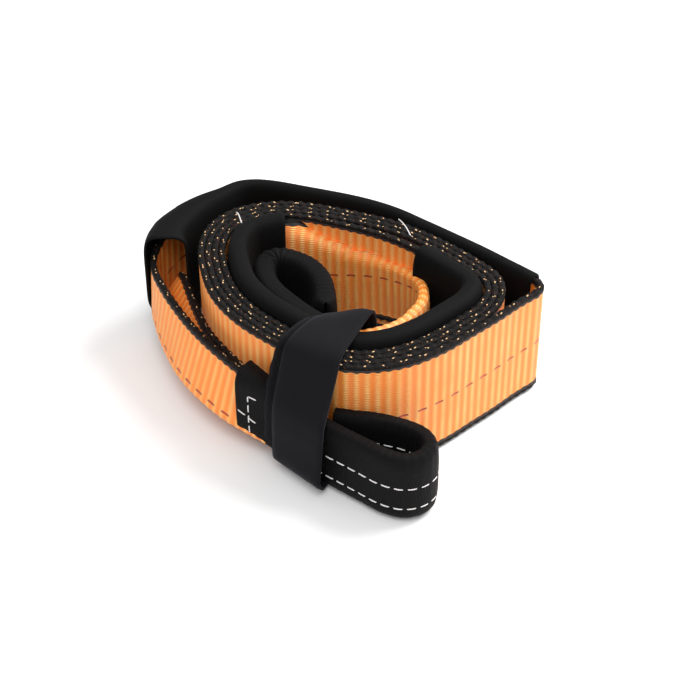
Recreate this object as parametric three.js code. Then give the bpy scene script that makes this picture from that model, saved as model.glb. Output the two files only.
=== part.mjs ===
import * as THREE from 'three';

// Tree saver strap: polyester webbing stood on edge and rolled into an oval coil, with a reduced
// eye at each end, two wear sleeves threaded on it and a hook and loop tie round the front.
// Millimetres, +Z up, coil axis vertical, outer eye towards -Y.

// Driving sizes.
const webWidth = 75;            // flat width of the webbing
const webThick = 3.4;           // thickness of the webbing
const turnPitch = 4.4;          // centre to centre of neighbouring turns
const wholeTurns = 3;           // full turns before the strap goes into the inner wear sleeve
const floorLift = 2.8;          // the coil stands this high, on the tie and the outer wear sleeve
const foldOpening = 6;          // degrees left between the halves of the webbing where it is folded
const fitGap = 0.5;             // clearance between one piece and what it is wrapped round
const wearWall = 1.6;           // wall of the two wear sleeves
const wearHeight = 80.6;        // standing height of the two wear sleeves
const outerWearBulk = 10;       // how wide the outer wear sleeve stands round the flat webbing
const innerWearBulk = 15;       // how wide the padded inner wear sleeve stands
const eyeWall = 1.1;            // wall of the two eye sleeves
const eyeHeight = 46;           // flat width of the eye sleeves
const outerEyeBulk = 10.5;      // thickness of the outer eye, sleeve included
const innerEyeBulk = 12.5;      // thickness of the inner eye, sleeve included
const innerEyeTop = 74;         // height of the upper edge of the inner eye
const tieWidth = 36;            // width of the hook and loop tie
const tieThick = 2;             // thickness of one layer of it

const half = webWidth / 2;
const standing = floorLift + half;                            // height of the centre line, webbing standing flat
const tieTop = tieThick + 0.3;                                // whatever the tie passes under starts above this
const innerStanding = tieTop + wearHeight / 2;                // the same line inside the inner wear sleeve
const rad = Math.PI / 180;

const webbing = new THREE.MeshStandardMaterial({ name: 'polyester_webbing', color: 0xf08030, roughness: 0.75 });
const eyeCloth = new THREE.MeshStandardMaterial({ name: 'woven_nylon_sleeve', color: 0x1e1c1c, roughness: 0.85 });
const wearCloth = new THREE.MeshStandardMaterial({ name: 'neoprene_sleeve', color: 0x171717, roughness: 0.9 });
const tieCloth = new THREE.MeshStandardMaterial({ name: 'hook_and_loop_tape', color: 0x211f24, roughness: 0.85 });

// Lofting.

// Closed solid from rings of points. Every ring has the same count and runs the same way round.
// `holes` are the rings of the inner wall of an open-ended tube.
function loft(name, material, rings, holes) {
  const count = rings[0].length;
  const points = [];
  const faces = [];
  const add = (list) => { const first = points.length; list.forEach((p) => points.push(p)); return first; };
  const outer = rings.map(add);
  const skin = (starts, flip) => {
    for (let i = 0; i + 1 < starts.length; i += 1) {
      for (let j = 0; j < count; j += 1) {
        const k = (j + 1) % count;
        const a = starts[i] + j; const b = starts[i] + k; const c = starts[i + 1] + k; const d = starts[i + 1] + j;
        if (flip) faces.push(a, b, c, a, c, d); else faces.push(a, c, b, a, d, c);
      }
    }
  };
  skin(outer, false);
  if (holes) {
    const inner = holes.map(add);
    skin(inner, true);
    const last = rings.length - 1;
    for (let j = 0; j < count; j += 1) {
      const k = (j + 1) % count;
      faces.push(outer[0] + j, inner[0] + k, inner[0] + j, outer[0] + j, outer[0] + k, inner[0] + k);
      faces.push(outer[last] + j, inner[last] + j, inner[last] + k, outer[last] + j, inner[last] + k, outer[last] + k);
    }
  } else {
    cap(points, faces, outer[0], count, false);
    cap(points, faces, outer[outer.length - 1], count, true);
  }
  const geometry = new THREE.BufferGeometry();
  geometry.setAttribute('position', new THREE.Float32BufferAttribute(points.flatMap((p) => [p.x, p.y, p.z]), 3));
  geometry.setIndex(faces);
  geometry.computeVertexNormals();
  const mesh = new THREE.Mesh(geometry, material);
  mesh.name = name;
  return mesh;
}

// Closes one end of a loft. The ring is flattened on its own plane to be cut into triangles.
function cap(points, faces, start, count, reverse) {
  const ring = points.slice(start, start + count);
  const centre = ring.reduce((sum, p) => sum.add(p), new THREE.Vector3()).divideScalar(count);
  const normal = new THREE.Vector3();
  ring.forEach((p, j) => {
    const q = ring[(j + 1) % count];
    normal.add(p.clone().sub(centre).cross(q.clone().sub(centre)));
  });
  normal.normalize();
  const u = ring[0].clone().sub(centre);
  u.addScaledVector(normal, -u.dot(normal)).normalize();
  const v = normal.clone().cross(u);
  const flat = ring.map((p) => new THREE.Vector2(p.clone().sub(centre).dot(u), p.clone().sub(centre).dot(v)));
  THREE.ShapeUtils.triangulateShape(flat, []).forEach(([a, b, c]) => {
    if (reverse) faces.push(start + a, start + c, start + b);
    else faces.push(start + a, start + b, start + c);
  });
}

// Route of the webbing.

// One key: plan position and height of the fold line, lean of the two arms from straight up
// (degrees, positive towards the inside of the coil), length of the first arm, and how far the
// section is turned from square to the run.
function key(x, y, z, armA = 0, armB = 180, lengthA = half, skew = 0) {
  return { x, y, z, armA, armB, lengthA, skew };
}

// Stations between keys, `steps` to a key: a smooth line in plan, straight change of the rest.
function stationsAlong(keys, steps) {
  const line = new THREE.CatmullRomCurve3(keys.map((k) => new THREE.Vector3(k.x, k.y, 0)), false, 'centripetal');
  const stations = [];
  const last = (keys.length - 1) * steps;
  for (let i = 0; i <= last; i += 1) {
    const lower = Math.min(Math.floor(i / steps), keys.length - 2);
    const part = i / steps - lower;
    const station = { place: line.getPoint(i / last), ahead: line.getTangent(i / last) };
    Object.keys(keys[lower]).filter((n) => n !== 'x' && n !== 'y').forEach((n) => {
      station[n] = keys[lower][n] + (keys[lower + 1][n] - keys[lower][n]) * part;
    });
    station.place.z = station.z;
    station.side = new THREE.Vector3(station.ahead.y, -station.ahead.x, 0);
    if (station.skew) station.side.applyAxisAngle(new THREE.Vector3(0, 0, 1), station.skew * rad);
    stations.push(station);
  }
  return stations;
}

// The outside of the coil, clockwise from the tie at the front.
const coilOval = [
  [0.6, -66.6], [-26.1, -55.8], [-51.3, -36.7], [-70, -17.7], [-84.4, 5.2], [-92.2, 29.8], [-95.6, 54.6],
  [-91.5, 78.4], [-77, 97.8], [-54.3, 106.9], [-30.6, 106.7], [2.8, 96.5], [32.3, 83.8], [58.3, 64.9],
  [81.2, 42.1], [94.4, 24.2], [96.5, 5.4], [88.2, -14.5], [72.1, -32], [52.7, -49.4], [29, -62.9],
];
const keysPerTurn = coilOval.length;
const ovalLine = new THREE.CatmullRomCurve3(coilOval.map(([x, y]) => new THREE.Vector3(x, y, 0)), true, 'centripetal');

// Plan position after `step` keys of the spiral, pushed `extra` further in.
function spiral(step, extra = 0) {
  const part = (step / keysPerTurn + 2) % 1;
  const ahead = ovalLine.getTangent(part);
  const inward = new THREE.Vector3(ahead.y, -ahead.x, 0);
  return ovalLine.getPoint(part).addScaledVector(inward, (step / keysPerTurn) * turnPitch + extra);
}


const innerWearStart = wholeTurns * keysPerTurn + 14;     // the strap goes into the inner wear sleeve
const innerWearEnd = innerWearStart + 15;                 // and comes out again
const innerWearSet = (innerWearBulk - webThick) / 2;      // the sleeve holds it this far off the turn outside
const foldA = -foldOpening / 2;
const foldB = foldOpening / 2;
const eyeSlack = (eyeHeight - half) / 2;                  // room above and below the folded webbing in its sleeve
const outerEyeFold = tieTop + eyeSlack - 0.8;             // height of the fold line, fold underneath
const innerEyeFold = innerEyeTop - eyeSlack + 0.8;        // the inner eye has its fold on top

// Outer eye, from the sewn end: back leg, bight, front leg.
const outerEyeKeys = [
  [-9, -71.8], [1, -75.2], [11, -78.5], [23, -83], [34, -87.5], [42, -93.5], [45.5, -102], [41, -109.5], [31.5, -112.5],
  [20, -108.5], [9, -100], [-3, -90.5], [-15, -81.5],
].map(([x, y]) => key(x, y, outerEyeFold, foldA, foldB));

// The folded strap opens as it runs round the front left.
const openFoldKeys = [
  key(-28, -72.5, outerEyeFold + 0.6, foldA, foldB),
  key(-42, -63, outerEyeFold + 1.8, foldA + 2, foldB + 2),
  key(-57, -53, 9, 0, 12),
  key(-72, -41, 11, 2, 18),
  key(-88, -25, 13, 6, 24, half, 8),
  key(-102, -6, 15, 8, 28, half, 12),
  key(-114, 16, 18, 6, 28, half, 8),
  key(-123, 40, 22, 2, 28),
  key(-127, 60, 24, 0, 28),
];

// Inside the outer wear sleeve the fold runs out to the lower edge and the webbing stands flat again.
const lowFold = half - 6;
const unfoldingKeys = [
  key(-124.5, 78, 20, 0, 32, half + 9),
  key(-114.5, 96, 15, 0, 44, half + 20),
  key(-100.5, 110, standing - lowFold, 0, 70, half + lowFold - 2),
  key(-86.5, 119.5, standing - lowFold, 0, 130, half + lowFold),
  key(-72.5, 128.5, standing - lowFold, 0, 180, half + lowFold),
];

// Along the back in the wear sleeve, round the right-hand corner and onto the front of the coil.
const outerRunKeys = [
  [-54, 128], [-24.5, 118.5], [12.5, 104.5], [30, 94.5], [47.5, 80], [65, 65.5], [82, 51], [98.5, 35.5],
  [110, 24.5], [115.8, 18.2], [117.6, 12.8], [114.8, 7.6], [109, 2.4], [102, -4], [89, -17.2], [76.2, -29],
].map(([x, y]) => key(x, y, standing));

// The coil itself, then the run round the inside, set in by half the bulk of the inner wear sleeve.
const coilKeys = [];
for (let step = -2; step <= innerWearEnd; step += 1) {
  const held = Math.min(Math.max(step - innerWearStart + 2, 0) / 3, 1);
  const p = spiral(step, held * innerWearSet);
  coilKeys.push(key(p.x, p.y, standing + held * (innerStanding - standing)));
}

// Free inner end: the top edge folds over backwards, the strap turns back at the right and comes
// forward folded in half, fold up, to the inner eye.
const innerEndKeys = [
  key(-47, 81.5, standing + 31, 0, 180, 6.5),
  key(-34, 82, standing + 29, -60, 180, 8.5),
  key(-18, 79, 66, -130, 180, 13),
  key(0, 73, 63, -168, 181, 20),
  key(20, 63, 63, -169, 181, 26),
  key(35, 51, 63, -170, 180, 29),
  key(43.5, 39, 64, -172, 178, 32),
  key(46, 26, 66, -174, 176, 34),
  key(44, 12, 66, -174, 176, 36),
  key(38, 0, 67, -180 + foldB, 180 + foldA, half),
  key(32.5, -9.5, 68, -180 + foldB, 180 + foldA, half),
  key(24.5, -18, 70, -180 + foldB, 180 + foldA, half),
  key(15, -23.5, 71, -180 + foldB, 180 + foldA, half),
];

// Inner eye: left leg, bight at the back, right leg and its end.
const innerEyeKeys = [
  [5, -26], [-7, -20.5], [-19, -13], [-29, -3], [-38.5, 8.5], [-47, 20], [-52.5, 32], [-54.5, 44], [-52, 53],
  [-45, 56.8], [-36, 53.7], [-27, 47], [-20, 36.5], [-16.5, 24], [-15.5, 12], [-15, 2],
].map(([x, y]) => key(x, y, innerEyeFold, -180 + foldB, 180 + foldA));

// Cross-sections.

// Puts an outline of [across, up] pairs at a station.
function placed(station, outline) {
  return outline.map(([p, q]) => new THREE.Vector3(station.place.x, station.place.y, q).addScaledVector(station.side, p));
}

// Outline of the webbing at a station: two arms meeting at the fold line.
function webbingOutline(station) {
  const { armA, armB, lengthA } = station;
  const lengthB = webWidth - lengthA;
  const t = webThick / 2;
  // where the faces of the two arms meet on a side on which they stand `open` degrees apart
  const meet = (open) => (open < 179.9 ? t / Math.tan((open / 2) * rad) + 1 : 1);
  const right = meet(armB - armA);
  const left = meet(360 - armB + armA);
  const point = (lean, along, off) => [
    Math.sin(lean * rad) * along + Math.cos(lean * rad) * off,
    station.z + Math.cos(lean * rad) * along - Math.sin(lean * rad) * off,
  ];
  return [
    point(armA, lengthA, -t), point(armA, left, -t), point(armB, left, t), point(armB, lengthB, t),
    point(armB, lengthB, -t), point(armB, right, -t), point(armA, right, t), point(armA, lengthA, t),
  ];
}

// Outline of a sleeve round the webbing at a station, `inset` inside its outer face.
function sleeveOutline(station, size, inset) {
  const across = webbingOutline(station).map(([p]) => p);
  const up = webbingOutline(station).map(([, q]) => q);
  const middle = (Math.min(...across) + Math.max(...across)) / 2;
  const snug = Math.max(...across) - middle + fitGap + size.wall;
  const a = Math.max(size.bulk / 2, snug) - inset;
  const low = Math.max(Math.min(...up) - size.below, 0) + inset;
  const high = (size.top || low - inset + size.height) - inset;
  const cut = Math.min(a, 4) * (inset ? 0.2 : 0.45);
  return [
    [-a + cut, low], [a - cut, low], [a, low + cut], [a, high - cut],
    [a - cut, high], [-a + cut, high], [-a, high - cut], [-a, low + cut],
  ].map(([p, q]) => [middle + p, q]);
}

// The pieces.

const runs = [outerEyeKeys, openFoldKeys, unfoldingKeys, outerRunKeys, coilKeys, innerEndKeys, innerEyeKeys];
const stepsPerKey = 2;
const stations = stationsAlong(runs.flat(), stepsPerKey);
// Station number of a key of one run.
const stationOf = (run, number) => stepsPerKey * (runs.slice(0, runs.indexOf(run)).flat().length + number);

const strap = loft('webbing_strap', webbing, stations.map((s) => placed(s, webbingOutline(s))));

function sleeve(name, material, from, to, size) {
  const covered = stations.slice(from, to + 1);
  return loft(
    name, material,
    covered.map((s) => placed(s, sleeveOutline(s, size, 0))),
    covered.map((s) => placed(s, sleeveOutline(s, size, size.wall))),
  );
}

const outerEyeSleeve = sleeve(
  'outer_eye_sleeve', eyeCloth, 0, stationOf(openFoldKeys, 2) + 1,
  { wall: eyeWall, bulk: outerEyeBulk, below: eyeSlack, height: eyeHeight },
);
const innerEyeSleeve = sleeve(
  'inner_eye_sleeve', eyeCloth, stationOf(innerEyeKeys, 0), stationOf(innerEyeKeys, innerEyeKeys.length - 1),
  { wall: eyeWall, bulk: innerEyeBulk, below: eyeSlack, height: eyeHeight },
);
const outerWearSleeve = sleeve(
  'outer_wear_sleeve', wearCloth, stationOf(openFoldKeys, openFoldKeys.length - 1), stationOf(outerRunKeys, 8),
  { wall: wearWall, bulk: outerWearBulk, below: floorLift, top: wearHeight },
);
const innerWearSleeve = sleeve(
  'inner_wear_sleeve', wearCloth,
  stationOf(coilKeys, innerWearStart + 3), stationOf(coilKeys, innerWearEnd + 2),
  { wall: wearWall, bulk: innerWearBulk, below: (wearHeight - webWidth) / 2, height: wearHeight },
);

// Hook and loop tie: a closed band round the front of the coil and both eyes, its free end lying
// on the outside. Outlines are [outwards, up] pairs, square to the run of the coil there.
const tieAt = new THREE.Vector3(-4, -26, 0);
const tieOut = new THREE.Vector3(-0.382, -0.924, 0);
const tieAlong = new THREE.Vector3(-0.924, 0.382, 0);
const tieStart = -15;                                     // along the run, from the middle of the band
const tieSlices = 6;

// Faces the tie lies on, inner side first, at `along` the run: [outwards, up, layers of tape].
function tieBed(along) {
  const coilFace = 39.6 - Math.max(along - 4, 0) * 0.13;
  const eyeFace = 60.2 - 0.23 * along;
  const insideFace = -14.5;
  const wearTop = tieTop + wearHeight + fitGap;
  const eyeTop = tieTop + eyeHeight + 2.5;
  return [
    [eyeFace - 1, tieThick, 1], [eyeFace, tieThick + 1, 1], [eyeFace, 14, 1], [eyeFace, 15, 2],
    [eyeFace, eyeTop - 4, 2], [eyeFace - 3, eyeTop, 2], [coilFace, wearTop - 3, 2], [22, wearTop, 2], [20, wearTop, 1],
    [-1, wearTop, 1], [insideFace + 2, innerEyeTop + 3, 1], [insideFace, innerEyeTop, 1],
    [insideFace, tieThick + 2, 1], [insideFace + 2, tieThick, 1],
  ];
}

// The bed moved outwards by its layers of tape, corners kept square to both neighbours.
function tieFace(bed) {
  return bed.map(([p, q, layers], j) => {
    const before = bed[(j + bed.length - 1) % bed.length];
    const after = bed[(j + 1) % bed.length];
    const u = new THREE.Vector2(p - before[0], q - before[1]).normalize();
    const v = new THREE.Vector2(after[0] - p, after[1] - q).normalize();
    const out = new THREE.Vector2(u.y + v.y, -u.x - v.x);
    out.multiplyScalar((2 * layers * tieThick) / out.lengthSq());
    return [p + out.x, q + out.y];
  });
}

const tieRings = [];
const tieHoles = [];
for (let i = 0; i <= tieSlices; i += 1) {
  const along = tieStart + (tieWidth * i) / tieSlices;
  const onto = ([p, q]) => tieAt.clone().addScaledVector(tieOut, p).addScaledVector(tieAlong, along).setZ(q);
  tieRings.push(tieFace(tieBed(along)).map(onto).reverse());
  tieHoles.push(tieBed(along).map(onto).reverse());
}
const tie = loft('hook_and_loop_tie', tieCloth, tieRings, tieHoles);

// The group stands with the middle of its outline over the origin.
const pieces = [strap, outerEyeSleeve, innerEyeSleeve, outerWearSleeve, innerWearSleeve, tie];
const group = new THREE.Group();
group.name = 'tree_saver_strap';
group.add(...pieces);
const bounds = new THREE.Box3().setFromObject(group);
const middle = bounds.getCenter(new THREE.Vector3());
pieces.forEach((piece) => piece.geometry.translate(-middle.x, -middle.y, -bounds.min.z));
export default group;
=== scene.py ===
from bisect import bisect_left
import math
import random

import bmesh
import bpy
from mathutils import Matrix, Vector, noise


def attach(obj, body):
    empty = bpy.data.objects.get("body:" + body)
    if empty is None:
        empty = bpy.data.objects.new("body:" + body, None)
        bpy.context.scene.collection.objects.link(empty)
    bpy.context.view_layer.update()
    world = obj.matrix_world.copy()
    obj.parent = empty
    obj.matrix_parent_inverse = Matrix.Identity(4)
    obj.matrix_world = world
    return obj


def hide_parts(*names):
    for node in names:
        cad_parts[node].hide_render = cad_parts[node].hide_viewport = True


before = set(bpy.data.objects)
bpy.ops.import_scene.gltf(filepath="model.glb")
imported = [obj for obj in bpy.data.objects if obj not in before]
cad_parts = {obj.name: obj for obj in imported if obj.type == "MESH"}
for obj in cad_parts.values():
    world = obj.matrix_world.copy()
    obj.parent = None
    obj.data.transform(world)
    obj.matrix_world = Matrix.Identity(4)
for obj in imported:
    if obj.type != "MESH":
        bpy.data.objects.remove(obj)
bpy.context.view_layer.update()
mm = 0.001
shift = Vector((5.75, -8.25, 0))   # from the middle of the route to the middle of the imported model
random.seed(7)

# Camera at the photograph's angle: 38 degrees down, long lens
camera = {"aim": (0.00575, -0.00825, 0.0375), "distance": 1.06, "pitch": 38, "lens": 87.43, "sensor": 36}

cameraData = bpy.data.cameras.new("camera")
cameraData.lens = camera["lens"]
cameraData.sensor_width = camera["sensor"]
cameraObject = bpy.data.objects.new("camera", cameraData)
pitch = math.radians(camera["pitch"])
cameraObject.location = Vector(camera["aim"]) + camera["distance"] * Vector((0, -math.cos(pitch), math.sin(pitch)))
cameraObject.rotation_euler = (math.pi / 2 - pitch, 0, 0)
bpy.context.scene.collection.objects.link(cameraObject)
bpy.context.scene.camera = cameraObject


# Small helpers
def linear(hexText):
    levels = [int(hexText[i:i + 2], 16) / 255 for i in (1, 3, 5)]
    return [c / 12.92 if c < 0.04045 else ((c + 0.055) / 1.055) ** 2.4 for c in levels] + [1]


def addNode(material, kind, inputs, output=0, **settings):
    # one shader node with its settings and its inputs set or linked; gives back the output asked for
    tree = material.node_tree
    node = tree.nodes.new("ShaderNode" + kind)
    for name, value in settings.items():
        setattr(node, name, value)
    for name, value in inputs.items() if isinstance(inputs, dict) else enumerate(inputs):
        if isinstance(value, bpy.types.NodeSocket):
            tree.links.new(value, node.inputs[name])
        else:
            node.inputs[name].default_value = value
    return node.outputs[output] if node.outputs else None


def newMaterial(name):
    material = bpy.data.materials.new(name)
    material.use_nodes = True
    material.node_tree.nodes.clear()
    return material


def finishMaterial(material, colour, roughness, height, depth, shine):
    # the bump and the surface that every cloth and thread ends with; shine names more of the surface's inputs
    bump = addNode(material, "Bump", {"Strength": 1.0, "Distance": depth, "Height": height})
    surface = addNode(material, "BsdfPrincipled", {
        "Base Color": colour, "Roughness": roughness, "Normal": bump, **shine})
    addNode(material, "OutputMaterial", {"Surface": surface})


def newPiece(name, mesh, material, slot, *nodes):
    piece = bpy.data.objects.new(name, mesh)
    bpy.context.scene.collection.objects.link(piece)
    piece.data.materials.append(material)
    for polygon in piece.data.polygons:
        polygon.use_smooth = True
    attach(piece, "root")
    if nodes:
        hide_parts(*nodes)
    return piece


def meshFrom(shape, name):
    # turns a finished bmesh into mesh data
    mesh = bpy.data.meshes.new(name)
    shape.to_mesh(mesh)
    shape.free()
    return mesh


def lengthsOf(points):
    # distance along a line of points to each of them
    lengths = [0.0]
    for a, b in zip(points, points[1:]):
        lengths.append(lengths[-1] + (b - a).length)
    return lengths


def locate(lengths, goal):
    # the span of a measured line that holds `goal`, and the share of that span that lies before it
    i = min(bisect_left(lengths, goal, 1), len(lengths) - 1) - 1
    return i, (goal - lengths[i]) / max(lengths[i + 1] - lengths[i], 1e-9)


# The route that the strap lies along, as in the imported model. A row holds its place in plan and, where it
# differs from its neighbours, the height of the fold or middle line, the lean of the two halves from upright
# in degrees, the length of the first half and the skew of the section.
route = {
    "webWidth": 75, "turnPitch": 4.4, "keysPerTurn": 21, "floorLift": 2.8, "smoothing": 24, "stepsPerKey": 10,
    "innerStanding": 42.6, "innerWearStart": 74.6, "innerWearEnd": 92, "innerWearSet": 5.8, "tightest": 6,
    "outerEyeHeight": 5.75, "outerEyeLean": 3, "innerEyeHeight": 70.55, "innerEyeLean": 177,
    "coilOval": [
        (0.6, -66.6), (-26.1, -55.8), (-51.3, -36.7), (-70, -17.7), (-84.4, 5.2), (-92.2, 29.8), (-95.6, 54.6),
        (-91.5, 78.4), (-77, 97.8), (-54.3, 106.9), (-30.6, 106.7), (2.8, 96.5), (32.3, 83.8), (58.3, 64.9),
        (81.2, 42.1), (94.4, 24.2), (96.5, 5.4), (88.2, -14.5), (72.1, -32), (52.7, -49.4), (29, -62.9)],
    "outerEye": [
        (-9, -71.8), (1, -74.2), (11, -76), (23, -79.2), (34.5, -83.8), (43, -91), (46, -101), (41.5, -109),
        (31.5, -112.5), (20, -108.5), (9, -100), (-3, -90.5), (-15, -81.5)],
    "openFold": [
        (-28, -72.5, 8.2, -3, 3), (-42.5, -63.8, 12.5, 4, 9), (-58.8, -55.5, 17, 13, 17), (-75.5, -44.5, 20, 19, 25),
        (-91.5, -27.5, 21.5, 20, 31, 37.5, 8), (-105, -7, 21.5, 18, 34, 37.5, 12), (-115, 16, 21, 12, 36, 37.5, 8),
        (-123, 40, 23, 5, 36), (-127, 60, 24, 0, 34)],
    "unfolding": [
        (-124.5, 78, 20, 0, 32, 46.5), (-114.5, 96, 15, 0, 44, 57.5), (-100.5, 110, 8.8, 0, 70, 67),
        (-86.5, 119.5, 8.8, 0, 130, 69), (-72.5, 128.5, 8.8, 0, 180, 69)],
    "outerRun": [
        (-54, 128), (-24.5, 118.5), (12.5, 104.5), (30, 94.5), (47.5, 80), (65, 65.5), (82, 51), (98.5, 35.5),
        (110, 24.5), (115.8, 18.2), (117.6, 12.8), (114.8, 7.6), (109, 2.4), (102, -4), (89, -17.2), (76.2, -29)],
    "innerEnd": [
        (-47, 81.5, 71.3, 0, 180, 6.5), (-34, 82, 69.3, -60, 180, 8.5), (-18, 79, 66, -130, 180, 13),
        (0, 73, 63, -168, 181, 20), (20, 63, 63, -169, 181, 26), (35, 51, 63, -170, 180, 29),
        (43.5, 39, 64, -172, 178, 32), (46, 26, 66, -174, 176, 34), (44, 12, 66, -174, 176, 36),
        (38, 0, 67, -177, 177), (32.5, -9.5, 68, -177, 177), (24.5, -18, 70, -177, 177), (15, -23.5, 71, -177, 177)],
    "innerEye": [
        (5, -26), (-7, -20.5), (-19, -13), (-29, -3), (-38.5, 8.5), (-47, 20), (-52.5, 32), (-54.5, 44), (-52, 53),
        (-45, 56.8), (-36, 53.7), (-27, 47), (-20, 36.5), (-16.5, 24), (-15.5, 12), (-15, 2)],
}
half = route["webWidth"] / 2
standing = route["floorLift"] + half


def centripetal(before, start, end, after, part):
    # one span of a centripetal Catmull-Rom curve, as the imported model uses
    gaps = [max((b - a).length_squared ** 0.25, 1e-4) for a, b in ((before, start), (start, end), (end, after))]
    leave = ((start - before) / gaps[0] - (end - before) / (gaps[0] + gaps[1]) + (end - start) / gaps[1]) * gaps[1]
    arrive = ((end - start) / gaps[1] - (after - start) / (gaps[1] + gaps[2]) + (after - end) / gaps[2]) * gaps[1]
    cubic = 2 * start - 2 * end + leave + arrive
    square = -3 * start + 3 * end - 2 * leave - arrive
    return ((cubic * part + square) * part + leave) * part + start


def onOval(step):
    # place on the coil's outermost turn, `step` keys round it
    oval = [Vector((x, y, 0)) for x, y in route["coilOval"]]
    count = len(oval)
    i = math.floor(step)
    return centripetal(*(oval[(i + k) % count] for k in (-1, 0, 1, 2)), step - i)


def spiral(step, extra=0.0):
    # place on the coil, each turn inside the last by the pitch of the turns, `extra` further in
    ahead = (onOval(step + 0.01) - onOval(step - 0.01)).normalized()
    inward = Vector((ahead.y, -ahead.x, 0))
    return onOval(step) + inward * (step / route["keysPerTurn"] * route["turnPitch"] + extra)


def key(x, y, z, armA=0, armB=180, lengthA=half, skew=0):
    # flat and on edge unless the row says otherwise
    return [x, y, z, armA, armB, lengthA, skew]


lean = route["outerEyeLean"]
keys = [key(x, y, route["outerEyeHeight"], -lean, lean) for x, y in route["outerEye"]]
keys += [key(*row) for row in route["openFold"]]
keys += [key(*row) for row in route["unfolding"]]
keys += [key(x, y, standing) for x, y in route["outerRun"]]
firstCoil = len(keys)
# round the coil, settling further in and lower where the inner wear sleeve holds it off its neighbour
for step in range(-2, route["innerWearEnd"] + 1):
    held = min(max(step - route["innerWearStart"] + 2, 0) / 3, 1)
    x, y, _ = spiral(step, held * route["innerWearSet"])
    keys.append(key(x, y, standing + held * (route["innerStanding"] - standing)))
firstInnerEnd = len(keys)
keys += [key(*row) for row in route["innerEnd"]]
firstInnerEye = len(keys)
lean = route["innerEyeLean"]
keys += [key(x, y, route["innerEyeHeight"], -lean, lean) for x, y in route["innerEye"]]
# first and last key of each sleeve
marks = {
    "outerEye": (0, 15.5), "outerWear": (21, 35.7), "innerWear": (firstCoil + 78.0, firstInnerEnd + 0.5),
    "innerEye": (firstInnerEye, len(keys) - 1)}


def walk(spacing):
    # stations along the route at an even spacing in millimetres, every value smoothed between its keys
    fine = route["stepsPerKey"]
    places = [Vector((k[0], k[1], 0)) for k in keys]
    places = [2 * places[0] - places[1]] + places + [2 * places[-1] - places[-2]]
    rows = []
    for i in range(len(keys) - 1):
        for j in range(fine):
            part = j / fine
            values = [a + (b - a) * part for a, b in zip(keys[i][2:], keys[i + 1][2:])]
            rows.append([centripetal(*places[i:i + 4], part), i + part, *values])
    rows.append([places[-2], len(keys) - 1.0, *keys[-1][2:]])
    lengths = lengthsOf([row[0] for row in rows])
    count = round(lengths[-1] / spacing)
    stations = []
    for i in range(count + 1):
        goal = lengths[-1] * i / count
        at, part = locate(lengths, goal)
        a, b = rows[at], rows[at + 1]
        values = [p + (q - p) * part for p, q in zip(a[2:], b[2:])]
        stations.append({
            "place": a[0].lerp(b[0], part), "key": a[1] + (b[1] - a[1]) * part, "along": goal,
            **dict(zip(("z", "armA", "armB", "lengthA", "skew"), values))})
    # running mean over the smoothing length
    reach = max(2, round(route["smoothing"] / spacing / 2))
    for name in ("z", "armA", "armB", "lengthA", "skew"):
        raw = [s[name] for s in stations]
        total = [0.0]
        for value in raw:
            total.append(total[-1] + value)
        for i, s in enumerate(stations):
            r = min(reach, i, len(raw) - 1 - i)
            s[name] = (total[i + r + 1] - total[i - r]) / (2 * r + 1)
    for i, s in enumerate(stations):
        a, b = stations[max(i - 1, 0)]["place"], stations[min(i + 1, len(stations) - 1)]["place"]
        ahead = (b - a).normalized()
        turn = math.radians(s["skew"])
        side = Vector((ahead.y, -ahead.x, 0))
        s["ahead"] = ahead
        s["side"] = Vector((side.x * math.cos(turn) - side.y * math.sin(turn),
                            side.x * math.sin(turn) + side.y * math.cos(turn), 0))
    return stations


def webSection(s, across, radius):
    # point of the webbing's middle layer, `across` millimetres from its middle line, as (sideways, up)
    reach = across + half - s["lengthA"]
    spread = s["armB"] - s["armA"]
    middle = (s["armA"] + s["armB"]) / 2
    sign = -1
    if spread > 180:
        middle, spread, sign = middle + 180, 360 - spread, 1
    # round the fold, then straight on along one half
    opening = max(spread - route["tightest"] * (1 - spread / 180), 0)
    bend = min(abs(reach) / radius, math.radians(90 - opening / 2))
    rest = abs(reach) - bend * radius
    inside = radius * (1 - math.cos(bend)) + rest * math.sin(bend)
    aside = radius * math.sin(bend) + rest * math.cos(bend)
    turn = math.radians(middle)
    toArm = math.radians(middle + 90 * (sign if reach < 0 else -sign))
    return (math.sin(turn) * inside + math.sin(toArm) * aside,
            s["z"] + math.cos(turn) * inside + math.cos(toArm) * aside)


def toFrame(s, point):
    # (sideways, up) in millimetres at a station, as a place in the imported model's frame
    sideways, up = point
    return (s["place"] + s["side"] * sideways + Vector((0, 0, up)) + shift) * mm


def gridMesh(name, rows, columns, uvs, closed=False):
    # a grid of len(rows) by `columns`, each vertex moved to its place, with the given UVs
    shape = bmesh.new()
    layer = shape.loops.layers.uv.new("UVMap")
    bmesh.ops.create_grid(shape, x_segments=len(rows) - 1, y_segments=columns - 1, size=0.5, calc_uvs=False)
    shape.verts.ensure_lookup_table()
    places = {}                        # row and column of each vertex
    for vertex in shape.verts:
        i = round((vertex.co.x + 0.5) * (len(rows) - 1))
        j = round((vertex.co.y + 0.5) * (columns - 1))
        places[vertex.index] = (i, j)
    for face in shape.faces:
        for loop in face.loops:
            i, j = places[loop.vert.index]
            loop[layer].uv = uvs(i, j)
    for vertex in shape.verts:
        i, j = places[vertex.index]
        vertex.co = rows[i][j]
    if closed:
        bmesh.ops.remove_doubles(shape, verts=shape.verts, dist=0.00002)
    return meshFrom(shape, name), places


print("route and helpers ready")

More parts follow.
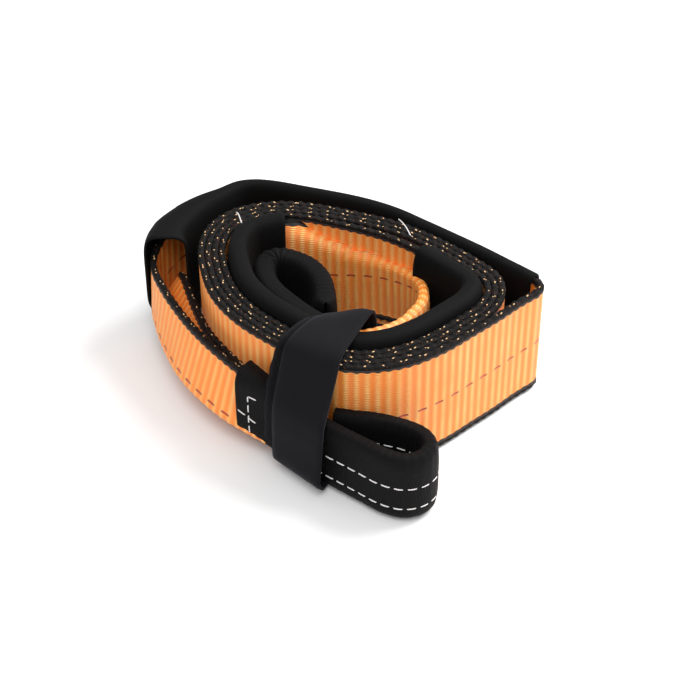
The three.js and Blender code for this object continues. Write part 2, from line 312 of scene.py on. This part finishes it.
# Webbing: one strap of woven polyester with black selvages
webbing = {
    "spacing": 1.55, "thick": 4.0, "foldRadius": 1.95, "ribPitch": 6.2, "ribDepth": 0.2, "edgeWave": 0.45,
    "columns": [-37.5, -36.9, -35.4, -33, -28, -22, -15, -8, -4.5, -2.6, -1.2, 0,
                1.2, 2.6, 4.5, 8, 15, 22, 28, 33, 35.4, 36.9, 37.5],
    "insideSleeve": 6, "scallopFrom": 36.5, "rimFrom": 35.4, "flatFrom": 34, "flatShare": 0.35, "bodyShare": 0.86,
    # deep is painted shade between the ribs, pale is a painted highlight on their backs
    "orange": "#FF9C34", "deep": "#F27C24", "pale": "#FFD684", "red": "#A02812", "selvage": "#080707",
    "selvageWidth": 4.0, "yarn": 1.3, "fleck": "#F6D9A8", "rust": "#7A4424",
    "tracerTurns": (420, 560), "tracerOff": (-5.5, 2.5), "tracerWide": 1.3,
}


def makeWebbingMaterial():
    # woven polyester webbing: filament yarns with a soft shine along their run, ribs across it with painted shade
    # between them and painted highlights on their backs, a red tracer yarn and matt black selvages
    m = newMaterial("woven_polyester_webbing")
    uv = addNode(m, "UVMap", {}, uv_map="UVMap")
    along = addNode(m, "SeparateXYZ", (uv,), "X")
    across = addNode(m, "SeparateXYZ", (uv,), "Y")
    u = addNode(m, "Math", (along, 1000.0), operation="MULTIPLY")       # millimetres
    v = addNode(m, "Math", (across, 1000.0), operation="MULTIPLY")
    off = addNode(m, "Math", (v,), operation="ABSOLUTE")
    grain = addNode(m, "TexNoise", {"Vector": uv, "Scale": 900.0, "Detail": 3.0})
    patch = addNode(m, "TexNoise", {"Vector": uv, "Scale": 60.0, "Detail": 2.0})
    # ribs
    ribTurn = addNode(m, "Math", (u, 2 * math.pi / webbing["ribPitch"]), operation="MULTIPLY")
    wave = addNode(m, "Math", (ribTurn,), operation="COSINE")
    rib = addNode(m, "Math", (wave, 0.5, 0.5), operation="MULTIPLY_ADD")
    # yarns along the strap, every other one passing over at the next rib
    yarnTurn = addNode(m, "Math", (v, 2 * math.pi / webbing["yarn"]), operation="MULTIPLY")
    yarnWave = addNode(m, "Math", (yarnTurn,), operation="COSINE")
    overTurn = addNode(m, "Math", (u, math.pi / webbing["ribPitch"]), operation="MULTIPLY")
    overWave = addNode(m, "Math", (overTurn,), operation="COSINE")
    yarn = addNode(m, "Math", (yarnWave, overWave), operation="MULTIPLY")
    height = addNode(m, "Math", (rib, 0.5), operation="MULTIPLY")
    height = addNode(m, "Math", (yarn, 0.42, height), operation="MULTIPLY_ADD")
    height = addNode(m, "Math", (grain, 0.5, height), operation="MULTIPLY_ADD")
    # orange, with painted shade between the ribs and a painted highlight on their backs
    tone = addNode(m, "Math", (rib, 0.6, -0.05), operation="MULTIPLY_ADD")
    tone = addNode(m, "Math", (grain, 0.5, tone), operation="MULTIPLY_ADD")
    tone = addNode(m, "Math", (yarn, 0.16, tone), operation="MULTIPLY_ADD")
    colour = addNode(m, "Mix", {0: tone, 6: linear(webbing["deep"]), 7: linear(webbing["orange"])}, 2, data_type="RGBA")
    # painted highlight: pale on the backs of the ribs, broken into uneven patches
    ribBack = addNode(m, "Math", (rib, 2.0), operation="POWER")
    highlightPatches = addNode(m, "Math", (yarn, 0.3, patch), operation="MULTIPLY_ADD")
    lift = addNode(m, "Math", (ribBack, highlightPatches), operation="MULTIPLY")
    lift = addNode(m, "Math", (lift, 0.8), operation="MULTIPLY")
    colour = addNode(m, "Mix", {0: lift, 6: colour, 7: linear(webbing["pale"])}, 2, data_type="RGBA")
    # red tracer dashes near the middle line, a little to one side of it where the strap is folded
    inPair = addNode(m, "Math", (u, 2 * webbing["ribPitch"]), operation="MODULO")
    inDash = addNode(m, "Math", (inPair, webbing["ribPitch"]), operation="LESS_THAN")
    tracer = addNode(m, "MapRange", {
        "Value": u, "From Min": webbing["tracerTurns"][0], "From Max": webbing["tracerTurns"][1],
        "To Min": webbing["tracerOff"][0], "To Max": webbing["tracerOff"][1]}, interpolation_type="SMOOTHSTEP")
    fromTracer = addNode(m, "Math", (v, tracer), operation="SUBTRACT")
    fromTracer = addNode(m, "Math", (fromTracer,), operation="ABSOLUTE")
    onTracer = addNode(m, "Math", (fromTracer, webbing["tracerWide"] / 2), operation="LESS_THAN")
    dash = addNode(m, "Math", (inDash, onTracer), operation="MULTIPLY")
    colour = addNode(m, "Mix", {0: dash, 6: colour, 7: linear(webbing["red"])}, 2, data_type="RGBA")
    # black selvage with a scalloped inner line, and small rust threads on its edge
    line = addNode(m, "Math", (wave, -0.35, half - webbing["selvageWidth"]), operation="MULTIPLY_ADD")
    inSelvage = addNode(m, "Math", (off, line), operation="GREATER_THAN")
    colour = addNode(m, "Mix", {0: inSelvage, 6: colour, 7: linear(webbing["selvage"])}, 2, data_type="RGBA")
    here = addNode(m, "TexCoord", {}, "Object")
    strand = addNode(m, "TexNoise", {"Vector": here, "Scale": 950.0, "Detail": 1.0})
    onStrand = addNode(m, "Math", (strand, 0.64), operation="GREATER_THAN")
    onEdge = addNode(m, "Math", (off, 36.6), operation="GREATER_THAN")
    speck = addNode(m, "Math", (onStrand, onEdge), operation="MULTIPLY")
    colour = addNode(m, "Mix", {0: speck, 6: colour, 7: linear(webbing["rust"])}, 2, data_type="RGBA")
    edgeHeight = addNode(m, "Math", (strand, inSelvage), operation="MULTIPLY")
    height = addNode(m, "Math", (edgeHeight, 0.8, height), operation="MULTIPLY_ADD")
    rough = addNode(m, "Math", (inSelvage, 0.25, 0.42), operation="MULTIPLY_ADD")
    rough = addNode(m, "Math", (grain, 0.15, rough), operation="MULTIPLY_ADD")
    run = addNode(m, "Tangent", {}, direction_type="UV_MAP", uv_map="UVMap")
    finishMaterial(m, colour, rough, height, 0.0004, {
        "Sheen Weight": 0.06, "Sheen Tint": linear("#FFC080"), "Specular IOR Level": 0.75,
        "Tangent": run, "Anisotropic": 0.75, "Anisotropic Rotation": 0.25})
    return m


def makeSelvageMaterial():
    # dyed black polyester yarns woven tight into an edge: matt, with single rust threads showing
    m = newMaterial("woven_black_selvage")
    here = addNode(m, "TexCoord", {}, "Object")
    strand = addNode(m, "TexNoise", {"Vector": here, "Scale": 900.0, "Detail": 2.0})
    colour = addNode(m, "Mix", {0: strand, 6: linear("#030303"), 7: linear("#100E0E")}, 2, data_type="RGBA")
    speck = addNode(m, "Math", (strand, 0.66), operation="GREATER_THAN")
    speck = addNode(m, "Math", (speck, 0.55), operation="MULTIPLY")
    colour = addNode(m, "Mix", {0: speck, 6: colour, 7: linear(webbing["rust"])}, 2, data_type="RGBA")
    finishMaterial(m, colour, 0.75, strand, 0.0007, {"Specular IOR Level": 0.2})
    return m


stations = walk(webbing["spacing"])[:-webbing["insideSleeve"]]
columns = webbing["columns"]
rows = []
for s in stations:
    wave = math.cos(2 * math.pi * s["along"] / webbing["ribPitch"])
    scallop = 1 + webbing["edgeWave"] * wave / half
    rows.append([
        toFrame(s, webSection(s, v * scallop if abs(v) > webbing["scallopFrom"] else v, webbing["foldRadius"]))
        for v in columns])
mesh, places = gridMesh("webbing", rows, len(columns), lambda i, j: (stations[i]["along"] * mm, columns[j] * mm))
webbingPiece = newPiece("webbing", mesh, makeWebbingMaterial(), "webbing", "webbing_strap")
webbingPiece.data.materials.append(makeSelvageMaterial())
for polygon in mesh.polygons:
    if sum(abs(columns[places[v][1]]) for v in polygon.vertices) / 4 > webbing["rimFrom"]:
        polygon.material_index = 1
# Full thickness at the selvages, thinner between them, and thinnest between two ribs
ribs = webbingPiece.vertex_groups.new(name="ribs")
for index, (i, j) in places.items():
    wave = math.cos(2 * math.pi * stations[i]["along"] / webbing["ribPitch"])
    flat = abs(columns[j]) > webbing["flatFrom"]
    depth = webbing["ribDepth"] * (webbing["flatShare"] if flat else 1)
    ribs.add([index], (1 - depth * (0.5 - 0.5 * wave)) * (1 if flat else webbing["bodyShare"]), "REPLACE")
solid = webbingPiece.modifiers.new("thickness", "SOLIDIFY")
solid.thickness = webbing["thick"] * mm
solid.offset = 0
solid.vertex_group = "ribs"
solid.material_offset_rim = 1

# Cream tracer threads: a pair on the edge of each selvage for every two ribs, some with one only
flecks = {
    "long": 1.9, "wide": 1.05, "high": 0.6, "first": 3.1, "gap": 2.3, "uneven": 0.4, "single": 0.3,
    "sizes": (0.75, 1.1), "secondSize": 0.8, "sideways": 0.7, "proud": 0.25, "lastRoom": 8, "pale": "#D9A066"}


def makeFleckMaterial():
    # undyed polyester yarn: matt, and cream to tan from one thread to the next
    m = newMaterial("undyed_polyester_yarn")
    here = addNode(m, "TexCoord", {}, "Object")
    fuzz = addNode(m, "TexNoise", {"Vector": here, "Scale": 1500.0, "Detail": 2.0})
    area = addNode(m, "TexNoise", {"Vector": here, "Scale": 140.0, "Detail": 0.0})
    colour = addNode(m, "Mix", {0: area, 6: linear(flecks["pale"]), 7: linear(webbing["fleck"])}, 2, data_type="RGBA")
    finishMaterial(m, colour, 0.6, fuzz, 0.0002, {})
    return m


yarns = bmesh.new()
pair = 2 * webbing["ribPitch"]
for edge, inside in ((0, 3), (-1, -4)):
    number = 0
    while number * pair + flecks["lastRoom"] < stations[-1]["along"]:
        for second in (0, 1):
            along = number * pair + flecks["first"] + second * flecks["gap"]
            along += random.uniform(-flecks["uneven"], flecks["uneven"])
            if second and random.random() < flecks["single"]:
                continue
            i = min(int(along / webbing["spacing"]), len(stations) - 2)
            a, b = rows[i][edge], rows[i + 1][edge]
            ahead, up = (b - a).normalized(), (a - rows[i][inside]).normalized()
            side = ahead.cross(up).normalized()
            size = random.uniform(*flecks["sizes"]) * (flecks["secondSize"] if second else 1)
            middle = a + side * random.uniform(-flecks["sideways"], flecks["sideways"]) * mm + up * flecks["proud"] * mm
            for vertex in bmesh.ops.create_icosphere(yarns, subdivisions=1, radius=1)["verts"]:
                x, y, z = vertex.co
                vertex.co = middle + (ahead * x * flecks["long"] + side * y * flecks["wide"]
                                      + up * z * flecks["high"]) * 0.5 * size * mm
        number += 1
newPiece("tracer_yarns", meshFrom(yarns, "tracer_yarns"), makeFleckMaterial(), "webbing")
print("webbing", len(rows), "stations,", round(stations[-1]["along"]), "mm")


# Sleeves: closed tubes of cloth round the webbing, with a rounded box for a section
sleeve = {"acrossPower": 0.46, "upPower": 0.36, "webbingHalf": 1.7, "webbingEdge": 1.2}
wearSleeve = {
    "wall": 1.6, "bulk": 10, "slack": 1.2, "top": 80.6, "lap": 2.5, "drop": 14, "dropShare": 0.12,
    "innerBulk": 15, "innerLow": 2.3, "innerTop": 82.9, "spacing": 2.5, "around": 44, "colour": ("#040404", "#0A0A0A")}
eyeSleeve = {
    "wall": 1.1, "outerBulk": 10.5, "innerBulk": 12.9, "slack": 0.5, "lap": 1.4, "height": 46, "flatShare": 0.035,
    "flatWidth": 0.12, "spacing": 1, "around": 60, "colour": ("#040404", "#0E0D0E")}


def makeTube(name, settings, material, slot, node, s, section, ripple):
    # one ring of points at each station; section(station, share) gives (half width, low, high, middle)
    around = settings["around"]
    rings = []
    for i, station in enumerate(s):
        share = i / (len(s) - 1)
        wide, low, high, middle = section(station, share)
        ring = []
        for j in range(around):
            turn = 2 * math.pi * j / (around - 1)
            cos, sin = math.cos(turn), math.sin(turn)
            x = wide * math.copysign(abs(cos) ** sleeve["acrossPower"], cos)
            z = (low + high) / 2 + (high - low) / 2 * math.copysign(abs(sin) ** sleeve["upPower"], sin)
            place = toFrame(station, (middle + x, z))
            ring.append(place + ripple(station, turn))
        ring[-1] = ring[0].copy()
        rings.append(ring)
    reach = 2 * (rings[0][around // 4] - rings[0][3 * around // 4]).length
    mesh, _ = gridMesh(
        name, rings, around, lambda i, j: (s[i]["along"] * mm, j / (around - 1) * reach), closed=True)
    piece = newPiece(name, mesh, material, slot, node)
    shell = piece.modifiers.new("wall", "SOLIDIFY")
    shell.thickness = settings["wall"] * mm
    shell.offset = 1
    return piece


def span(name, spacing):
    # the stations between a sleeve's marks, with how tightly the run bends at each, from 0.25 to 1
    first, last = marks[name]
    chosen = [s for s in walk(spacing) if first <= s["key"] <= last]
    for i, station in enumerate(chosen):
        a, b = chosen[max(i - 3, 0)]["ahead"], chosen[min(i + 3, len(chosen) - 1)]["ahead"]
        station["bend"] = 0.25 + 0.75 * min(a.angle(b, 0) / 0.7, 1)
    return chosen


def makeClothMaterial(name, colours, pitch, depth):
    # black synthetic cloth: matt and even, with a fine weave that only shows where light grazes it
    m = newMaterial(name)
    uv = addNode(m, "UVMap", {}, uv_map="UVMap")
    perMetre = 2 * math.pi * 1000 / pitch
    waves = []
    for axis in ("X", "Y"):
        place = addNode(m, "SeparateXYZ", (uv,), axis)
        turn = addNode(m, "Math", (place, perMetre), operation="MULTIPLY")
        waves.append(addNode(m, "Math", (turn,), operation="SINE"))
    weave = addNode(m, "Math", waves, operation="MULTIPLY")
    grain = addNode(m, "TexNoise", {"Vector": uv, "Scale": 700.0, "Detail": 3.0})
    height = addNode(m, "Math", (grain, 0.6), operation="MULTIPLY")
    height = addNode(m, "Math", (weave, 0.5, height), operation="MULTIPLY_ADD")
    tone = addNode(m, "Math", (weave, 0.35, grain), operation="MULTIPLY_ADD")
    colour = addNode(m, "Mix", {0: tone, 6: linear(colours[0]), 7: linear(colours[1])}, 2, data_type="RGBA")
    finishMaterial(m, colour, 0.65, height, depth, {
        "Sheen Weight": 0.01, "Sheen Tint": linear("#B8B8C0"), "Specular IOR Level": 0.1})
    return m


eyeCloth = makeClothMaterial("woven_textured_nylon", eyeSleeve["colour"], 1.5, 0.00022)
wearCloth = makeClothMaterial("knit_faced_neoprene", wearSleeve["colour"], 0.8, 0.00008)


def webExtent(s):
    # what the webbing fills at a station: left, right, low and high
    points = [webSection(s, v, webbing["foldRadius"]) for v in (-half, -20, -8, 0, 8, 20, half)]
    across = [p[0] for p in points]
    up = [p[1] for p in points]
    return (min(across) - sleeve["webbingHalf"], max(across) + sleeve["webbingHalf"],
            min(up) - sleeve["webbingEdge"], max(up) + sleeve["webbingEdge"])


def outerWearSection(s, share):
    left, right, low, _ = webExtent(s)
    wall = wearSleeve["wall"]
    wide = max(wearSleeve["bulk"] / 2 - wall, (right - left) / 2 + wearSleeve["slack"])
    # past its mouth, its lower edge comes down to the floor
    low = max(low - wearSleeve["lap"] - wearSleeve["drop"] * min(share / wearSleeve["dropShare"], 1), 0)
    return wide, low + wall, wearSleeve["top"] - wall, (left + right) / 2


def innerWearSection(s, share):
    left, right, _, _ = webExtent(s)
    wall = wearSleeve["wall"]
    wide = wearSleeve["innerBulk"] / 2 - wall
    return wide, wearSleeve["innerLow"] + wall, wearSleeve["innerTop"] - wall, (left + right) / 2


def outerEyeSection(s, share):
    left, right, low, _ = webExtent(s)
    wall = eyeSleeve["wall"]
    wide = max(eyeSleeve["outerBulk"] / 2 - wall, (right - left) / 2 + eyeSleeve["slack"])
    low = max(low - eyeSleeve["lap"], 0)
    return wide, low + wall, low + eyeSleeve["height"] - wall, (left + right) / 2


def innerEyeSection(s, share):
    left, right, _, high = webExtent(s)
    wall = eyeSleeve["wall"]
    top = high + eyeSleeve["lap"]
    # sewn flat at its free end
    openness = math.sqrt(min((1 - share) / eyeSleeve["flatShare"], 1))
    wide = eyeSleeve["innerBulk"] / 2 * (eyeSleeve["flatWidth"] + (1 - eyeSleeve["flatWidth"]) * openness)
    return wide, top - eyeSleeve["height"] + wall, top - wall, (left + right) / 2


def soften(strength, seed):
    # broad, shallow unevenness of a padded sleeve
    def ripple(station, turn):
        out = station["side"] * math.cos(turn) + Vector((0, 0, 0.4 * math.sin(turn)))
        where = Vector((station["along"] * 0.025, math.cos(turn), math.sin(turn) + seed))
        return out * strength * noise.noise(where) * mm
    return ripple


def gathers(strength, pitch, seed):
    # cloth drawn up along its run: small folds across it, strongest where it bends and near its upper edge
    def ripple(station, turn):
        u = station["along"]
        phase = 2 * math.pi * u / pitch + 1.6 * noise.noise(Vector((u * 0.03, turn, seed)))
        fold = 0.5 + 0.5 * noise.noise(Vector((u * 0.05, math.cos(turn) * 0.9, seed + 5)))
        upper = 0.35 + 0.65 * max(math.sin(turn), 0)
        size = strength * station["bend"] * fold * upper
        out = station["side"] * math.cos(turn) + Vector((0, 0, math.sin(turn)))
        soft = 0.5 * noise.noise(Vector((u * 0.045, math.cos(turn) * 1.5, math.sin(turn) * 1.5 + seed)))
        return out * (size * math.sin(phase + 1.1 * math.sin(turn)) + soft * 0.9) * mm
    return ripple


# Each sleeve is cloth sewn into a tube, cut to the way round it by its length; the eyes' is gathered
for name, settings, cloth, slot, run, section, ripple, gather in (
        ("outer_wear", wearSleeve, wearCloth, "wear_sleeve", "outerWear", outerWearSection, soften(0.8, 2), 1),
        ("inner_wear", wearSleeve, wearCloth, "wear_sleeve", "innerWear", innerWearSection, soften(0.9, 8), 1),
        ("outer_eye", eyeSleeve, eyeCloth, "eye_sleeve", "outerEye", outerEyeSection, gathers(0.55, 4.6, 3), 1.05),
        ("inner_eye", eyeSleeve, eyeCloth, "eye_sleeve", "innerEye", innerEyeSection, gathers(1.0, 4.2, 11), 1.05)):
    s = span(run, settings["spacing"])
    piece = makeTube(name, settings, cloth, slot, name + "_sleeve", s, section, ripple)
    s = span(run, 5)
    wide, low, high, _ = section(s[len(s) // 2], 0.5)
print("sleeves")


# Hook and loop tie: a soft band, smooth outside and with a loop pile layer under it on the front
tie = {
    "at": (-4, -26), "out": (-0.382, -0.924), "along": (-0.924, 0.382), "from": -15, "to": 21, "thick": 1.9,
    "lift": 1.9, "pileThick": 1.4, "pileLift": 0.5, "pilePast": (4, 6.5), "pileShare": (0.14, 0.68), "pileEdge": 1.5,
    "coilFace": 39.6, "coilSlope": 0.13, "eyeFace": 60.2, "eyeSlope": 0.23, "insideFace": -14.5, "insideTaper": 3,
    "top": 83.4, "dip": 8.8, "low": 1.0, "foot": 10, "standOff": 6, "drawnIn": 8, "count": 150, "across": 13,
    "colour": ("#09080A", "#121115"), "pile": ("#030303", "#0A090C"),
}


def tiePath(along, lift):
    # closed path of the band in the plane across the bundle, as (outwards, up), `lift` off what it holds
    left = min(max((along + 12) / 33, 0), 1)                # 0 at the band's right edge, 1 at its left
    front = tie["eyeFace"] - tie["eyeSlope"] * along + lift
    proud = front + tie["standOff"] * (1 - left)            # the right edge stands off the eye
    shoulder = tie["coilFace"] - tie["coilSlope"] * max(along - 4, 0) + lift
    inside = tie["insideFace"] - lift + tie["insideTaper"] * left
    dip = tie["dip"] * min(max((along + 8) / 29, 0), 1)     # the top is lower at the left, over the inner eye
    top, low, foot = tie["top"] + lift, tie["low"], tie["foot"]
    return [
        (inside + 0.6, 8), (inside, 30), (inside, 54), (inside + 0.8, top - dip - 12), (inside + 5, top - dip - 2.5),
        (inside + 15, top - dip * 0.5), (14, top), (shoulder - 6, top), (shoulder - 0.5, top - 2.5),
        (shoulder * 0.72 + front * 0.28, 73), (shoulder * 0.36 + front * 0.64, 62),
        (front * 0.9 + proud * 0.1 - 1.2, 52.5), (front * 0.7 + proud * 0.3 + 0.6, 42),
        (front * 0.35 + proud * 0.65 + 0.9, 27), (proud + 1.2, 14 + 5 * left), (proud + 0.6, foot + 3),
        (proud - 4.5, foot - 3.5), (front - 16, low + 3), (20, low), (0, low), (inside + 5, low + 0.5)]


def closedCurve(points, count):
    # `count` evenly spaced points of the smooth closed curve through the given ones
    points = [Vector((x, y, 0)) for x, y in points]
    n = len(points)
    fine = [centripetal(*(points[(i + j) % n] for j in (-1, 0, 1, 2)), k / 12) for i in range(n) for k in range(12)]
    fine.append(fine[0])
    lengths = lengthsOf(fine)
    spots = [locate(lengths, lengths[-1] * i / (count - 1)) for i in range(count)]
    return [fine[at].lerp(fine[at + 1], part) for at, part in spots]


def makeTieMaterial(name, colours, pitch, depth, roughness):
    # knitted nylon: matt blue-black, lighter at its edges where the pile catches light
    m = newMaterial(name)
    uv = addNode(m, "UVMap", {}, uv_map="UVMap")
    grain = addNode(m, "TexNoise", {"Vector": uv, "Scale": 1000 / pitch, "Detail": 4.0, "Roughness": 0.7})
    patch = addNode(m, "TexNoise", {"Vector": uv, "Scale": 90.0, "Detail": 2.0})
    tone = addNode(m, "Math", (patch, 0.5, -0.25), operation="MULTIPLY_ADD")
    tone = addNode(m, "Math", (grain, 0.8, tone), operation="MULTIPLY_ADD")
    colour = addNode(m, "Mix", {0: tone, 6: linear(colours[0]), 7: linear(colours[1])}, 2, data_type="RGBA")
    finishMaterial(m, colour, roughness, grain, depth, {
        "Sheen Weight": 0.05, "Sheen Tint": linear("#C8C8D8"), "Specular IOR Level": 0.12})
    return m


def makeBand(name, material, first, last, lift, thick, part=None, edge=0.0):
    # band from `first` to `last` millimetres along the bundle; part keeps a share of the way round, and edge
    # is how uneven its two edges are
    count, across = tie["count"], tie["across"]
    curves = []
    for j in range(across):
        along = first + (last - first) * j / (across - 1)
        curves.append((along, closedCurve(tiePath(along, lift), count)))
    chosen = range(count) if part is None else range(int(part[0] * count), int(part[1] * count))
    rows = []
    at, out, side = (Vector((*tie[n], 0)) for n in ("at", "out", "along"))
    for i in chosen:
        row = []
        for j, (along, curve) in enumerate(curves):
            wobble = 0
            if j in (0, across - 1):
                wobble = edge * noise.noise(Vector((i * 0.21, 9.0 if j else 0, 3)))
            # drawn together where it passes over the inner eye
            nearTop = min(max((curve[i].y - 50) / 30, 0), 1) * min(max((42 - curve[i].x) / 40, 0), 1)
            drawn = tie["drawnIn"] * nearTop * max((along + 5) / 26, 0)
            place = at + out * curve[i].x + side * (along + wobble - drawn) + Vector((0, 0, curve[i].y)) + shift
            row.append(place * mm)
        rows.append(row)
    reach = lengthsOf([row[across // 2] for row in rows])
    mesh, _ = gridMesh(name, rows, across,
                       lambda i, j: (reach[i], (first + (last - first) * j / (across - 1)) * mm), closed=part is None)
    piece = newPiece(name, mesh, material, "tie", "hook_and_loop_tie")
    shell = piece.modifiers.new("thickness", "SOLIDIFY")
    shell.thickness = thick * mm
    shell.offset = 0


bandCloth = makeTieMaterial("knitted_nylon_tape", tie["colour"], 0.9, 0.0001, 0.8)
pileCloth = makeTieMaterial("nylon_loop_pile", tie["pile"], 1.6, 0.0008, 0.95)
makeBand("tie_band", bandCloth, tie["from"], tie["to"], tie["lift"], tie["thick"])
makeBand("tie_pile", pileCloth, tie["from"] + tie["pilePast"][0], tie["to"] + tie["pilePast"][1], tie["pileLift"],
         tie["pileThick"], tie["pileShare"], tie["pileEdge"])
print("tie")


# Stitching: white thread, one short capsule for each stitch; heights are shares of the sleeve's height
stitching = {
    "length": 6.4, "gap": 1.7, "thick": 0.85, "shortest": 0.6, "crown": 0.25, "colour": ("#CFCBCB", "#E8E4E4"),
    "outsideRows": (0.19, 0.54), "insideRows": (0.19, 0.64), "fromStart": 3, "fromEnd": 14,
    "box": [
        [(9, h) for h in (0.1, 0.26, 0.42, 0.58, 0.76)], [(9, 0.76), (12, 0.765), (16, 0.77), (20, 0.775)],
        [(1, 0.42), (5, 0.4), (9, 0.38), (13, 0.36), (17, 0.34)]],
}


def makeThreadMaterial():
    # bonded polyester thread: off-white and slightly glossy, with a fine twist
    m = newMaterial("bonded_polyester_thread")
    here = addNode(m, "TexCoord", {}, "Object")
    twist = addNode(m, "TexNoise", {"Vector": here, "Scale": 2500.0, "Detail": 2.0})
    dark, pale = (linear(c) for c in stitching["colour"])
    colour = addNode(m, "Mix", {0: twist, 6: dark, 7: pale}, 2, data_type="RGBA")
    finishMaterial(m, colour, 0.45, twist, 0.0001, {})
    return m


def stitchRow(shape, seam):
    # stitches laid along a seam of (place, normal) in millimetres, sunk a little into the cloth
    lengths = lengthsOf([place for place, _ in seam])

    def at(goal):
        i, part = locate(lengths, goal)
        return seam[i][0].lerp(seam[i + 1][0], part), seam[i][1].lerp(seam[i + 1][1], part).normalized()

    start = 0.0
    while start + stitching["length"] * stitching["shortest"] < lengths[-1]:
        end = min(start + stitching["length"], lengths[-1])
        for vertex in bmesh.ops.create_uvsphere(shape, u_segments=6, v_segments=7, radius=1)["verts"]:
            z = max(min(vertex.co.z, 1), -1)
            goal = start + (end - start) * (0.5 + math.asin(z) / math.pi)
            point, normal = at(goal)
            ahead = (at(min(goal + 0.3, lengths[-1]))[0] - point).normalized()
            across = normal.cross(ahead).normalized()
            radius = stitching["thick"] / 2 * min(1, 2.2 * math.sqrt(max(1 - z * z, 0)))
            flat = Vector((vertex.co.x, vertex.co.y, 0))
            flat = flat.normalized() * radius if flat.length > 1e-6 else flat
            rise = stitching["crown"] * (math.cos(math.asin(z)) ** 0.5 if abs(z) < 1 else -1)
            vertex.co = (point + across * flat.x + normal * (flat.y + rise) + shift) * mm
        start = end + stitching["gap"]


def onOuterEye(station, height, face):
    # place and normal on the outer eye's sleeve; face is 1 inside the loop, -1 outside
    wide, low, high, middle = outerEyeSection(station, 0)
    wide *= (1 - abs(2 * height - 1) ** (2 / sleeve["upPower"])) ** (sleeve["acrossPower"] / 2)
    place = station["place"] + station["side"] * (middle + face * (wide + eyeSleeve["wall"]))
    return place + Vector((0, 0, low + (high - low) * height)), station["side"] * face


threads = bmesh.new()
eyeRun = span("outerEye", 2)
for face, heights in ((-1, stitching["outsideRows"]), (1, stitching["insideRows"])):
    for height in heights:
        seam = [onOuterEye(station, height, face) for station in eyeRun]
        stitchRow(threads, seam[stitching["fromStart"]:-stitching["fromEnd"]])
# the box seam near the sleeve's free end, by millimetres back from that end
for path in stitching["box"]:
    seam = []
    for back, height in path:
        i = len(eyeRun) - 1 - back / 2
        a, b = eyeRun[int(i)], eyeRun[min(int(i) + 1, len(eyeRun) - 1)]
        place, normal = onOuterEye(a, height, -1)
        seam.append((place + (b["place"] - a["place"]) * (i - int(i)), normal))
    stitchRow(threads, seam)
threadMaterial = makeThreadMaterial()
newPiece("stitching", meshFrom(threads, "stitching"), threadMaterial, "eye_sleeve")
print("stitching")

# Two loose ends of white thread on the inner wear sleeve and beside the coil
loose = {"thick": 0.8, "sides": 8, "steps": 6, "ends": [
    [(-74, 91, 80), (-72.5, 84.5, 83.6), (-71, 78.5, 84.6), (-69.5, 72.5, 84.2)],
    [(31.5, 83.5, 79.5), (33.2, 76, 82.5), (35.8, 67.5, 84), (38.5, 60.5, 82.5)]]}
ends = bmesh.new()
for end in loose["ends"]:
    line = [Vector(p) for p in end]
    line = [2 * line[0] - line[1]] + line + [2 * line[-1] - line[-2]]
    steps = loose["steps"]
    path = [centripetal(*line[i:i + 4], k / steps) for i in range(len(end) - 1) for k in range(steps)] + [line[-2]]
    ring = bmesh.ops.create_circle(ends, segments=loose["sides"], radius=1, cap_ends=True)["verts"]
    for i, point in enumerate(path):
        ahead = (path[min(i + 1, len(path) - 1)] - path[max(i - 1, 0)]).normalized()
        if i:
            face = next(f for f in ends.faces if set(f.verts) == set(ring))
            made = bmesh.ops.extrude_face_region(ends, geom=[face])
            ring = [v for v in made["geom"] if isinstance(v, bmesh.types.BMVert)]
            bmesh.ops.delete(ends, geom=[face], context="FACES_ONLY")
        across = ahead.cross(Vector((0, 0, 1))).normalized()
        over = across.cross(ahead)
        for k, vertex in enumerate(ring):
            turn = 2 * math.pi * k / len(ring)
            vertex.co = (point + (across * math.cos(turn) + over * math.sin(turn)) * loose["thick"] / 2 + shift) * mm
bmesh.ops.recalc_face_normals(ends, faces=ends.faces)
newPiece("loose_threads", meshFrom(ends, "loose_threads"), threadMaterial, "wear_sleeve")
print("threads")

# Floor and studio light
studio = {
    "floor": "#F2F2F2", "floorHalf": 3, "world": 0.7, "aim": (0, 0, 0.03), "lightSize": 1.0,
    "lights": [("key", (0.95, 0.45, 1.15), 25.5), ("fill", (-0.1, -1.0, 1.5), 14.5)]}


def makeFloorMaterial():
    # matt paper: an even pale ground that only takes soft shadows
    m = newMaterial("matt_paper")
    surface = addNode(m, "BsdfPrincipled", {
        "Base Color": linear(studio["floor"]), "Roughness": 0.9, "Specular IOR Level": 0.1})
    addNode(m, "OutputMaterial", {"Surface": surface})
    return m


floorShape = bmesh.new()
bmesh.ops.create_grid(floorShape, x_segments=1, y_segments=1, size=studio["floorHalf"])
floor = bpy.data.objects.new("floor", meshFrom(floorShape, "floor"))
bpy.context.scene.collection.objects.link(floor)
floor.data.materials.append(makeFloorMaterial())

world = bpy.data.worlds.new("studio")
bpy.context.scene.world = world
world.use_nodes = True
background = world.node_tree.nodes["Background"]
background.inputs["Color"].default_value = (1, 1, 1, 1)
background.inputs["Strength"].default_value = studio["world"]
bpy.context.scene.view_settings.view_transform = "Standard"

for name, place, power in studio["lights"]:
    light = bpy.data.lights.new(name, "AREA")
    light.shape = "DISK"
    light.size = studio["lightSize"]
    light.energy = power
    lamp = bpy.data.objects.new(name, light)
    lamp.location = place
    lamp.rotation_euler = (Vector(studio["aim"]) - Vector(place)).to_track_quat("-Z", "Y").to_euler()
    bpy.context.scene.collection.objects.link(lamp)
print("studio")
